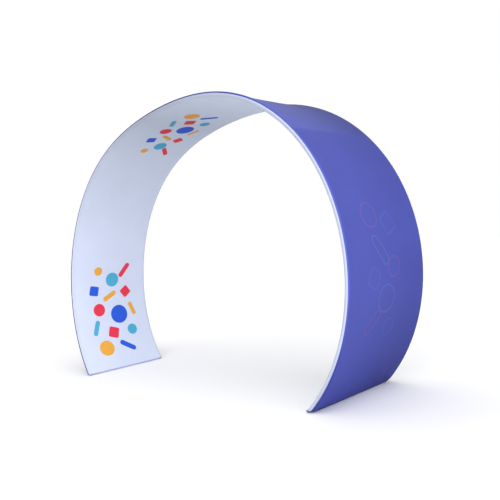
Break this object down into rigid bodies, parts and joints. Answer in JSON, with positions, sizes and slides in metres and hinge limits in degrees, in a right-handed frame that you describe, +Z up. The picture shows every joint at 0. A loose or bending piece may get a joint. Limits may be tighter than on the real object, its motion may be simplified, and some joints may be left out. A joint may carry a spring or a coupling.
{
  "type": "fabric display arch with tube frame",
  "caption": "Free-standing walk-through arch: a wide bow of bent tube hoops joined by cross tubes, inside a stretched indigo and white fabric cover.",
  "frame": {"origin": "centre of the bounding box at floor level", "axes": "+Z up, the walk-through passage runs along Y, +X towards the leg whose foot stands nearer the middle"},
  "size_m": [3.6062, 0.962, 2.4017],
  "materials": {
    "indigo_cloth": "matt printed stretch cloth",
    "white_cloth": "matt stretch cloth",
    "aluminium_tube": "satin anodised",
    "grey_plug": "moulded"
  },
  "bodies": {
    "root": {"cover_outer": "indigo_cloth", "cover_inner": "white_cloth", "hoop_front": "aluminium_tube", "hoop_back": "aluminium_tube", "spreader_1": "aluminium_tube", "spreader_2": "aluminium_tube", "spreader_3": "aluminium_tube", "spreader_4": "aluminium_tube", "spreader_5": "aluminium_tube", "spreader_6": "aluminium_tube", "spreader_7": "aluminium_tube", "foot_front_left": "grey_plug", "foot_front_right": "grey_plug", "foot_back_left": "grey_plug", "foot_back_right": "grey_plug"}
  },
  "joints": []
}
